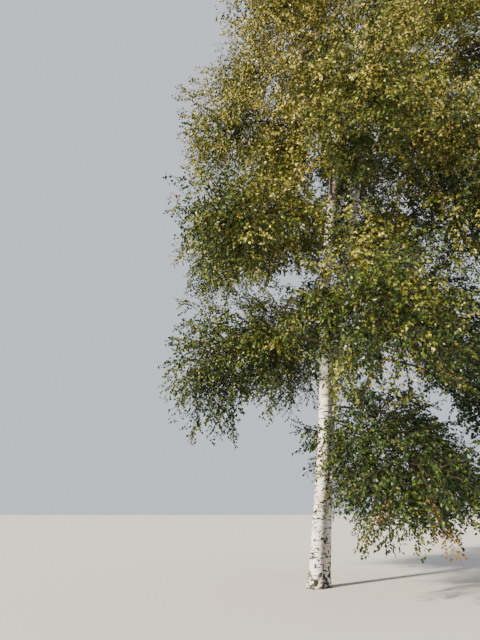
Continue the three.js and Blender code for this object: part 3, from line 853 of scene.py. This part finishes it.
count, twiglet, order = spaced(twiglet_length, LEAF_STEP, FEWEST_LEAVES)
leaf_total = len(twiglet)
leaf_share = (order + LEAF_FIRST) / (count - 1 + LEAF_FIRST)
leaf_spray = twiglet_spray[twiglet]
stalk_way = twiglet_way[twiglet]
aside = unit(np.cross(stalk_way, UP) + rng.normal(0, LEAF_ASIDE_SCATTER, (leaf_total, 3)))
leaf_way = unit(
    stalk_way * LEAF_FORWARD
    + aside * side_of(order)[:, None] * LEAF_ASIDE
    - UP * rng.uniform(*LEAF_HANG, leaf_total)[:, None]
    + rng.normal(0, LEAF_SCATTER, (leaf_total, 3))
)
leaf_foot = (
    twiglet_foot[twiglet]
    + stalk_way * (leaf_share * twiglet_length[twiglet])[:, None]
    + leaf_way * rng.uniform(*LEAF_STALK, leaf_total)[:, None]
)
leaf_length = rng.uniform(*LEAF_LENGTH, leaf_total)
facing = UP * LEAF_FACING_UP + rng.normal(0, LEAF_FACING_SCATTER, (leaf_total, 3))
leaf_across = unit(np.cross(leaf_way, facing))
leaf_normal = np.cross(leaf_across, leaf_way)

# Colours dealt out by spray: base colour and slot of each shade, from the darkest up
LEAF_COLORS = {
    # The darkest shades, deep and dark, stand partly for painted shade. Gold stands partly for
    # painted golden sunlight, and the lightest shade is a painted highlight of sunlit leaves.
    "deep": ((0.008, 0.019, 0.004), "leaf_dark_green"),
    "dark": ((0.017, 0.036, 0.006), "leaf_dark_green"),
    "green": ((0.036, 0.066, 0.008), "leaf_green"),
    "olive": ((0.070, 0.092, 0.009), "leaf_olive"),
    "lime": ((0.125, 0.135, 0.011), "leaf_olive"),
    "gold": ((0.225, 0.188, 0.040), "leaf_gold"),
    "sunlit_highlight": ((0.410, 0.360, 0.095), "leaf_gold"),
    "rust": ((0.135, 0.082, 0.015), "leaf_gold"),
}
LEAF_ROUGHNESS = 0.36

# A spray's warmth sets its shade. Height and the side it faces paint light: shade low down and
# away from the sun, golden sunlight high up and towards it. Slow drifts and chance make sprays
# lighter or darker here and there.
TINT_AND_LIGHT_STEPS = (0.06, 0.24, 0.4, 0.54, 0.68)
WARMTH_LEAST = 0.1
PAINTED_LIGHT_OF_HEIGHT = 0.6
PAINTED_LIGHT_OF_SIDE = 0.16
WARMTH_OF_DRIFT = 0.14
WARMTH_CHANCE = 0.12
PAINTED_SHADE_BELOW = 3.0
PAINTED_SUN_RISE = 13.0
LIGHT_SIDE = np.array([-0.55, -0.8, 0.0])
DRIFTS = (1.1, 0.9, 0.8), (-0.7, 1.2, 0.9)
DRIFT_START = 1.3

# Parts of the crown where a share of the sprays has another shade: lime on the front mass and a
# patch above it as painted sunlight, lime on a low cluster as a real yellow tint with painted
# sunlight, painted highlights at the top, painted shade on the skirt, and a rust tint on the
# lowest sprays.
FRONT_MASS = 5
FRONT_PAINTED_SUN = 0.2
PATCH_MIDDLE = (1.3, -2.0, 7.1)
PATCH_REACH = (1.5, 2.6, 1.8)
PATCH_PAINTED_SUN = 0.7
CLUSTER_MIDDLE = (0.4, -3.0, 3.6)
CLUSTER_REACH = (0.45, 1.8, 0.6)
CLUSTER_LIME = 0.6
TOP_FROM = 0.5
TOP_PAINTED_HIGHLIGHT = 0.05
SKIRT_MASSES = (0, 1, 2)
SKIRT_PAINTED_SHADE = 0.5
RUST_MASS = 0
RUST_SPRAYS = 2

middles = roots + alongs * lengths[:, None] / 2
# Painted light: sprays near the ground and away from the sun get darker shades as painted shade,
# and high sprays and those facing the sun get golden shades as painted sunlight.
height_share = ((middles[:, 2] - PAINTED_SHADE_BELOW) / PAINTED_SUN_RISE).clip(0, 1)
outward = middles - stem_point(STEMS["left"], middles[:, 2] / MM) * MM
facing_light = unit(outward * (1, 1, 0)) @ unit(LIGHT_SIDE)
drifts = np.sin(middles @ DRIFTS[0] + DRIFT_START) * np.sin(middles @ DRIFTS[1])
tint_and_painted_light = WARMTH_LEAST + PAINTED_LIGHT_OF_HEIGHT * height_share + PAINTED_LIGHT_OF_SIDE * facing_light
tint_and_painted_light = tint_and_painted_light + WARMTH_OF_DRIFT * drifts + rng.normal(0, WARMTH_CHANCE, len(sprays))
shade_names = list(LEAF_COLORS)
spray_color = np.digitize(tint_and_painted_light, TINT_AND_LIGHT_STEPS)
lively = rng.uniform(0, 1, len(sprays))


def within(middle, reach):
    """Which sprays lie in an egg-shaped part of the crown, in metres."""
    return np.linalg.norm((middles - middle) / reach, axis=-1) < 1


lowest = np.flatnonzero(owners == RUST_MASS)
lowest = lowest[np.argsort(middles[lowest, 2])][:RUST_SPRAYS]
# Painted sunlight on the front mass, patch and cluster, painted highlights at the top, painted
# shade on the skirt, and rust on the lowest sprays.
for chosen, shade in (
    ((owners == FRONT_MASS) & (lively < FRONT_PAINTED_SUN), "lime"),
    (within(PATCH_MIDDLE, PATCH_REACH) & (lively < PATCH_PAINTED_SUN), "lime"),
    (within(CLUSTER_MIDDLE, CLUSTER_REACH) & (lively < CLUSTER_LIME), "lime"),
    ((height_share > TOP_FROM) & (lively > 1 - TOP_PAINTED_HIGHLIGHT), "sunlit_highlight"),
    (np.isin(owners, SKIRT_MASSES) & (lively < SKIRT_PAINTED_SHADE), "dark"),
    (lowest, "rust"),
):
    spray_color[chosen] = shade_names.index(shade)


def clear_of_limbs(points):
    """Whether each point, in metres, is outside every stem and bare bough."""
    clear = np.ones(len(points), bool)
    for starts, ends, radii in LIMBS:
        low = np.minimum(starts.min(0), ends.min(0)) * MM - LIMB_BOX_MARGIN
        high = np.maximum(starts.max(0), ends.max(0)) * MM + LIMB_BOX_MARGIN
        near = np.flatnonzero(((points > low) & (points < high)).all(-1))
        for part in np.array_split(near, len(near) // POINTS_AT_ONCE + 1):
            gap = distances(points[part] / MM, starts, ends)
            clear[part] &= (gap * MM > radii * MM + LIMB_GAP).all(-1)
    return clear


leaf_middle = leaf_foot + leaf_way * leaf_length[:, None] / 2
kept = clear_of_limbs(leaf_middle) & within_reach(leaf_middle, 2 * PROUD)
kept &= leaf_middle[:, 2] > LOWEST_LEAF

# Within a spray some leaves are a step or two lighter or darker than the rest: partly tone that
# differs from leaf to leaf, partly painted sparkle of sunlit leaves with painted shade between
# them.
STEPS = (0.16, 0.4, 0.72, 0.88)
LIGHTEST = shade_names.index("sunlit_highlight")

leaf_color = spray_color[leaf_spray]
stepped = (leaf_color + np.digitize(rng.uniform(0, 1, leaf_total), STEPS) - 2).clip(0, LIGHTEST)
leaf_color = np.where(leaf_color <= LIGHTEST, stepped, leaf_color)


def nodes_named(start):
    return sorted(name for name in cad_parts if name.startswith(start))


def leaf_piece(name, chosen, material):
    long, wide, lifted = LEAF_OUTLINE.T[:, None, :, None]
    size = leaf_length[chosen][:, None, None]
    vertices = (
        leaf_foot[chosen][:, None]
        + leaf_way[chosen][:, None] * long * size
        + leaf_across[chosen][:, None] * wide * size * LEAF_WIDTH / 2
        + leaf_normal[chosen][:, None] * lifted * size * LEAF_FOLD
    )
    first = len(LEAF_OUTLINE) * np.arange(len(chosen))[:, None, None]
    return mesh_object(name, vertices.reshape(-1, 3), [], first + LEAF_FACES, material, False)


slots = dict.fromkeys((twig_piece, stalk_piece, twiglet_piece), "bark_brown")
for color_number, (shade, (color, slot)) in enumerate(LEAF_COLORS.items()):
    material = plain_material(f"leaf_{shade}", color, LEAF_ROUGHNESS)
    chosen = np.flatnonzero(kept & (leaf_color == color_number))
    for part, some in enumerate(np.array_split(chosen, len(chosen) // MOST_LEAVES + 1)):
        slots[leaf_piece(f"leaves_{shade}_{part + 1}", some, material)] = slot
for piece, slot in slots.items():
    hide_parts(*nodes_named("foliage_"))

# Bark: rings of each stem with relief, and marks where boughs leave it
BARK_SIDES = 40
LOW_ROWS = (0, 2400, 15)
MIDDLE_ROWS = (2400, 9000, 27)
TOP_ROW = 70
BARK_STRIPS = 10
RELIEF_FULL_FROM = 30

# Waves of the relief: how many, how often round the stem, and how long up it
LUMP_WAVES = (10, (1, 5), (500, 2200))
CORK_WAVES = (22, (4, 13), (70, 420))
ROUGH_WAVES = (18, (2, 9), (110, 480))
RING_WAVES = (12, (1, 2), (35, 120))
KNOT_WAVES = (8, (0, 4), (90, 500))
LUMP = 0.02
RING_DEPTH = 0.7
SWELL = 0.22
SWELL_REACH = 2.2

# Rough cork: full round the foot, and in patches that thin out between these heights
CORK_DEPTH = 8.0
CORK_AT_FOOT = 0.9
CORK_FOOT_HEIGHT = 300
CORK_HEIGHTS = (2900, 400)
CORK_LIFTS = (-0.9, -0.2)
CORK_EDGE = (0.3, 0.55)

# Marks of boughs and lost branches; the arms, ends and eye are shares of a mark's size
BOUGH_MARK = 2.6
SCARS_FROM = 500
SCARS_END_BELOW_TOP = 800
SCAR_STEP = 250
SCAR_SHIFT = (-200, 200)
SCAR_SIZE = (50, 120)
SCAR_SHRINK = 0.5
SCAR_DEPTH = 3.5
MARK_SLOPE = 0.75
MARK_ARMS = (0.3, 0.1)
MARK_ARM_EDGE = 0.4
MARK_ENDS = (1, 0.8)
MARK_EYE = (0.36, 0.2)
MARK_EYE_FLATNESS = 1.2

# Thin wood is brown: radii where the brown starts and is full
BROWN_RADII = (75, 22)
BROWN_MOST = 0.85


def ripple(draws, angle, height, count, turns, waves):
    """A sum of seeded waves that closes round the stem, about -1 to 1."""
    total = np.zeros(np.broadcast(angle, height).shape)
    for _ in range(count):
        turn = draws.integers(*turns)
        wave = draws.uniform(*waves) * draws.choice((-1, 1))
        phase = draws.uniform(0, 2 * math.pi)
        total += np.sin(turn * angle + 2 * math.pi * height / wave + phase)
    return total / math.sqrt(2 * count)


def smooth(low, high, value):
    share = ((value - low) / (high - low)).clip(0, 1)
    return share * share * (3 - 2 * share)


def aside_of(angle, azimuth):
    """How far an angle is from another, either way round."""
    return np.abs((angle - azimuth + math.pi) % (2 * math.pi) - math.pi)


def chevron(angle, height, radius, at, azimuth, size):
    """The dark mark that a branch leaves: two arms that fall away from its foot."""
    aside = aside_of(angle, azimuth) * radius / size
    above = (height - at) / size
    thick = mix(*MARK_ARMS, aside.clip(0, 1))
    arms = smooth(thick, thick * MARK_ARM_EDGE, np.abs(above + MARK_SLOPE * aside))
    eye = smooth(*MARK_EYE, np.hypot(aside, above * MARK_EYE_FLATNESS))
    return np.maximum(arms * smooth(*MARK_ENDS, aside), eye)


def stem_bark(name, stem):
    draws = np.random.default_rng(stem["bark_seed"])
    top_count = int((stem["top"] - MIDDLE_ROWS[1]) / TOP_ROW)
    top_rows = np.linspace(MIDDLE_ROWS[1], stem["top"], top_count)
    heights = np.concatenate([np.arange(*LOW_ROWS), np.arange(*MIDDLE_ROWS), top_rows])
    rows = len(heights)
    height = heights[:, None]
    angle = (2 * math.pi * np.arange(BARK_SIDES) / BARK_SIDES)[None]
    radius = foot_radius(stem, height, angle)
    lumps = LUMP * radius * ripple(draws, angle, height, *LUMP_WAVES)
    cork = ripple(draws, angle, height, *CORK_WAVES)
    lift = mix(*CORK_LIFTS, smooth(*CORK_HEIGHTS, height))
    lift = lift + CORK_AT_FOOT * np.exp(-((height / CORK_FOOT_HEIGHT) ** 2))
    rough = smooth(*CORK_EDGE, ripple(draws, angle, height, *ROUGH_WAVES) + lift)
    ridges = CORK_DEPTH * rough * (0.5 - np.abs(cork))
    rings = RING_DEPTH * ripple(draws, 0 * angle, height, *RING_WAVES)
    mark = np.zeros_like(radius)
    swell = np.zeros_like(radius)
    for source in (source for source in BOUGHS if source["stem"] is stem):
        base = limb_radius(source, 0)
        at, azimuth = source["height"], source["azimuth"]
        scar = chevron(angle, height, radius, at, azimuth, base * BOUGH_MARK)
        mark = np.maximum(mark, scar)
        reach = np.hypot(aside_of(angle, azimuth) * radius, height - at)
        swell = swell + SWELL * base * np.exp(-((reach / (base * SWELL_REACH)) ** 2))
    for at in np.arange(SCARS_FROM, stem["top"] - SCARS_END_BELOW_TOP, SCAR_STEP):
        at = at + draws.uniform(*SCAR_SHIFT)
        azimuth = draws.uniform(0, 2 * math.pi)
        shrink = mix(SCAR_SHRINK, 1, stem_radius(stem, at) / stem["radius"])
        size = draws.uniform(*SCAR_SIZE) * shrink
        scar = chevron(angle, height, radius, at, azimuth, size)
        mark = np.maximum(mark, scar)
        ridges = ridges + SCAR_DEPTH * scar
    relief = (lumps + ridges + rings + swell) * smooth(0, RELIEF_FULL_FROM, height)
    way = np.stack([np.cos(angle), np.sin(angle), 0 * angle], -1)
    vertices = stem_point(stem, heights)[:, None] + (radius + relief)[..., None] * way
    vertices = vertices.reshape(-1, 3)
    vertices[:, 2] = vertices[:, 2].clip(0, None)
    low = np.arange(rows * BARK_SIDES).reshape(rows, BARK_SIDES)
    beside = np.roll(low, -1, axis=1)
    quads = np.stack([low[:-1], beside[:-1], beside[1:], low[1:]], -1).reshape(-1, 4)
    foot, tip = stem_point(stem, [0, stem["top"]])
    vertices = np.vstack([vertices, foot, tip])
    last = rows * BARK_SIDES
    bottom = [(last, right, left) for left, right in zip(low[0], beside[0])]
    top = [(last + 1, left, right) for left, right in zip(low[-1], beside[-1])]
    brown = smooth(*BROWN_RADII, radius) * BROWN_MOST
    shares = [np.append(values, [0, 0]) for values in (mark, rough, brown)]
    places = strip_map(rows, BARK_SIDES, BARK_STRIPS, 0, BARK_STRIPS)
    return bark_piece(name, vertices, quads, bottom + top, shares, places)


# Share of a strip of the map that its faces fill, across and along it
MAP_ACROSS = (0.04, 0.96)
MAP_ALONG = (0.004, 0.996)


def strip_map(rows, sides, strips, first, count):
    """Map places for a tube's quads, cut by height into strips that stand side by side."""
    row = np.repeat(np.arange(rows - 1), sides)
    side = np.tile(np.arange(sides), rows - 1)
    per_strip = math.ceil((rows - 1) / strips)
    strip = row // per_strip
    step = row - strip * per_strip
    corner_side = np.stack([side, side + 1, side + 1, side], -1) / sides
    corner_row = np.stack([step, step, step + 1, step + 1], -1) / per_strip
    across = (strip[:, None] + first + mix(*MAP_ACROSS, corner_side)) / count
    upward = mix(*MAP_ALONG, corner_row)
    return np.stack([across, upward], -1).reshape(-1, 2)


def bark_piece(name, vertices, quads, ends, shares, places):
    """A piece of bark, with its shares of mark, cork and brown, and its map for baking."""
    piece = mesh_object(name, vertices * MM, quads, ends, bark, True)
    for label, values in zip(("mark", "cork", "brown"), shares):
        layer = piece.data.attributes.new(label, "FLOAT", "POINT")
        layer.data.foreach_set("value", np.asarray(values, np.float32))
    places = np.vstack([places, np.zeros((3 * len(ends), 2))])
    layer = piece.data.uv_layers.new(name="OFBake")
    layer.uv.foreach_set("vector", np.asarray(places, np.float32).ravel())
    return piece


class Nodes:
    """Short ways to add and join the nodes of one material."""

    def __init__(self, material):
        self.tree = material.node_tree
        self.shader = self.tree.nodes["Principled BSDF"]

    def add(self, kind, inputs=None, **settings):
        node = self.tree.nodes.new(kind)
        for key, value in settings.items():
            setattr(node, key, value)
        self.set(node, inputs or {})
        return node

    def set(self, node, inputs):
        """Give each of these inputs a value, or a link where it is another node's socket."""
        for key, value in inputs.items():
            if isinstance(value, bpy.types.NodeSocket):
                self.tree.links.new(value, node.inputs[key])
            else:
                node.inputs[key].default_value = value

    def noise(self, scale, detail, stretch=(1, 1, 1)):
        mapping = self.add("ShaderNodeMapping", {"Vector": self.place, "Scale": stretch})
        inputs = {"Vector": mapping.outputs[0], "Scale": scale, "Detail": detail}
        return self.add("ShaderNodeTexNoise", inputs).outputs["Fac"]

    def ramp(self, value, low, high):
        inputs = {"Value": value, "From Min": low, "From Max": high}
        node = self.add("ShaderNodeMapRange", inputs, interpolation_type="SMOOTHSTEP")
        return node.outputs["Result"]

    def joined(self, operation, first, second):
        return self.add("ShaderNodeMath", {0: first, 1: second}, operation=operation).outputs[0]

    def times(self, first, second):
        return self.joined("MULTIPLY", first, second)

    def most(self, first, second):
        return self.joined("MAXIMUM", first, second)

    def pattern(self, name):
        noise, limits = BARK_PATTERNS[name]
        return self.ramp(self.noise(*noise), *limits)

    def blend(self, share, first, second):
        """Two colours blended: inputs 6 and 7 of this node, and its output 2."""
        inputs = {0: share, 6: first, 7: second}
        return self.add("ShaderNodeMix", inputs, data_type="RGBA").outputs[2]

    def attribute(self, name):
        return self.add("ShaderNodeAttribute", attribute_name=name).outputs["Fac"]


# Each pattern: its noise by scale, detail and stretch, and where it starts and is full
BARK_PATTERNS = {
    "tint": ((1.3, 3), (0.42, 0.68)),
    "bands": ((1.0, 4, (2.2, 2.2, 34)), (0.46, 0.74)),
    "dashes": ((1.0, 2, (4.5, 4.5, 26)), (0.57, 0.6)),
    "blots": ((1.0, 3, (8, 8, 14)), (0.63, 0.65)),
    "fine": ((1.0, 1, (24, 24, 190)), (0.64, 0.72)),
    "cracks": ((1.0, 4, (16, 16, 7)), (0.42, 0.6)),
    "edge": ((11, 3), (0.3, 0.7)),
}
WHITE = (0.66, 0.66, 0.65, 1)
CREAM = (0.62, 0.53, 0.43, 1)
GREY = (0.36, 0.37, 0.39, 1)
BROWN = (0.075, 0.052, 0.038, 1)
LIGHT_BROWN = (0.16, 0.12, 0.09, 1)
BLACK = (0.018, 0.015, 0.013, 1)
CORK_BROWN = (0.050, 0.043, 0.038, 1)
YOUNG_BARK_NOISE = (14, 3)
BAND_STRENGTH = 0.75
DASH_STRENGTH = 0.95
FINE_STRENGTH = 0.35
CORK_FROM = (0.25, 0.7)
CORK_FRAYED_BY = (-0.7, 0.5)
BARK_ROUGHNESS = 0.72
BAND_BUMP = 0.5
BUMP_STRENGTH = 0.5
BUMP_DEPTH = 0.004


def bark_material():
    """Papery white bark: cream and grey tints, fine bands, dark dashes, cork and marks."""
    material = bpy.data.materials.new("birch_bark")
    material.use_nodes = True
    nodes = Nodes(material)
    nodes.place = nodes.add("ShaderNodeTexCoord").outputs["Object"]
    bands = nodes.pattern("bands")
    color = nodes.blend(nodes.pattern("tint"), WHITE, CREAM)
    color = nodes.blend(nodes.times(bands, BAND_STRENGTH), color, GREY)
    dashes = nodes.times(nodes.pattern("dashes"), DASH_STRENGTH)
    fine = nodes.times(nodes.pattern("fine"), FINE_STRENGTH)
    dark = nodes.most(nodes.most(dashes, fine), nodes.pattern("blots"))
    color = nodes.blend(dark, color, BLACK)
    young = nodes.blend(nodes.noise(*YOUNG_BARK_NOISE), BROWN, LIGHT_BROWN)
    color = nodes.blend(nodes.attribute("brown"), color, young)
    cork = nodes.ramp(nodes.attribute("cork"), *CORK_FROM)
    cork = nodes.times(cork, nodes.ramp(nodes.pattern("edge"), *CORK_FRAYED_BY))
    color = nodes.blend(cork, color, nodes.blend(nodes.pattern("cracks"), BLACK, CORK_BROWN))
    color = nodes.blend(nodes.attribute("mark"), color, BLACK)
    height = nodes.most(nodes.times(bands, BAND_BUMP), dark)
    bump_inputs = {"Height": height, "Strength": BUMP_STRENGTH, "Distance": BUMP_DEPTH}
    bump = nodes.add("ShaderNodeBump", bump_inputs).outputs["Normal"]
    nodes.set(nodes.shader, {"Base Color": color, "Normal": bump})
    nodes.set(nodes.shader, {"Roughness": BARK_ROUGHNESS, "Specular IOR Level": GLOSS})
    return material


bark = bark_material()
for name, stem in STEMS.items():
    piece = stem_bark(f"bark_stem_{name}", stem)
    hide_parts(f"stem_{name}", "trunk_foot")

# Boughs: each from inside its stem to where its mass begins, knotted a little. Brown sets in
# over a share of the length, which is longer for the two big limbs at the fork.
LIMB_RINGS = 30
LIMB_SIDES = 12
LIMB_KNOT = 0.07
LIMB_SEED = 17
FORK_LIMBS = (7, 8)
BROWN_WITHIN = 0.12
BROWN_WITHIN_FORK = 0.55
BROWN_EDGE = (0.3, 1.3)


def bough_bark():
    draws = np.random.default_rng(LIMB_SEED)
    steps = np.linspace(0, 1, LIMB_RINGS)
    angle = (2 * math.pi * np.arange(LIMB_SIDES) / LIMB_SIDES)[None]
    runs = [(curve, steps * curve.source["bare"]) for curve in ARCHES]
    paths = np.array([curve.point(places) for curve, places in runs])
    radii = np.array([limb_radius(curve.source, places) for curve, places in runs])
    vertices, quads, tips = tubes(paths, radii, LIMB_SIDES)
    vertices = vertices.reshape(len(ARCHES), LIMB_RINGS, LIMB_SIDES, 3)
    brown, strips = [], []
    for number, source in enumerate(BOUGHS):
        distance = (steps * source["length"] * source["bare"])[:, None]
        knots = 1 + LIMB_KNOT * ripple(draws, angle, distance, *KNOT_WAVES)
        centre = paths[number][:, None]
        vertices[number] = centre + (vertices[number] - centre) * knots[..., None]
        share = BROWN_WITHIN_FORK if number in FORK_LIMBS else BROWN_WITHIN
        brown.append(smooth(*BROWN_EDGE, steps / share))
        strips.append(strip_map(LIMB_RINGS, LIMB_SIDES, 1, number, len(ARCHES)))
    vertices = vertices.reshape(-1, 3)
    brown = np.repeat(np.ravel(brown), LIMB_SIDES)
    shares = 0 * brown, 0 * brown, brown
    return bark_piece("bark_boughs", vertices, quads, tips, shares, np.vstack(strips))


piece = bough_bark()
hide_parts(*nodes_named("bough_"))

# Floor, daylight all round and a warm sun lamp from the left, in front and above
FLOOR_REACH = 120
FLOOR_COLOR = (0.5, 0.49, 0.47)
FLOOR_ROUGHNESS = 0.9
FLOOR_SPECULAR = 0.1
SKY_COLOR = (0.86, 0.91, 1.0, 1)
SKY_STRENGTH = 0.86
SUN_COLOR = (1.0, 0.86, 0.66)
SUN_STRENGTH = 14.5
SUN_SOFTNESS = 4
SUN_TURN = (64, 0, -50)

floor_mesh = bpy.data.meshes.new("floor")
floor_corners = np.array([(-1, -1, 0), (1, -1, 0), (1, 1, 0), (-1, 1, 0)]) * FLOOR_REACH
floor_mesh.from_pydata(floor_corners, [], [(0, 1, 2, 3)])
floor_mesh.materials.append(plain_material("floor", FLOOR_COLOR, FLOOR_ROUGHNESS, FLOOR_SPECULAR))
placed("floor", floor_mesh)

world = bpy.data.worlds.new("studio")
world.use_nodes = True
sky = world.node_tree.nodes["Background"].inputs
sky["Color"].default_value = SKY_COLOR
sky["Strength"].default_value = SKY_STRENGTH
bpy.context.scene.world = world

sun_data = bpy.data.lights.new("sun", "SUN")
sun_data.color = SUN_COLOR
sun_data.energy = SUN_STRENGTH
sun_data.angle = math.radians(SUN_SOFTNESS)
placed("sun", sun_data, SUN_TURN)
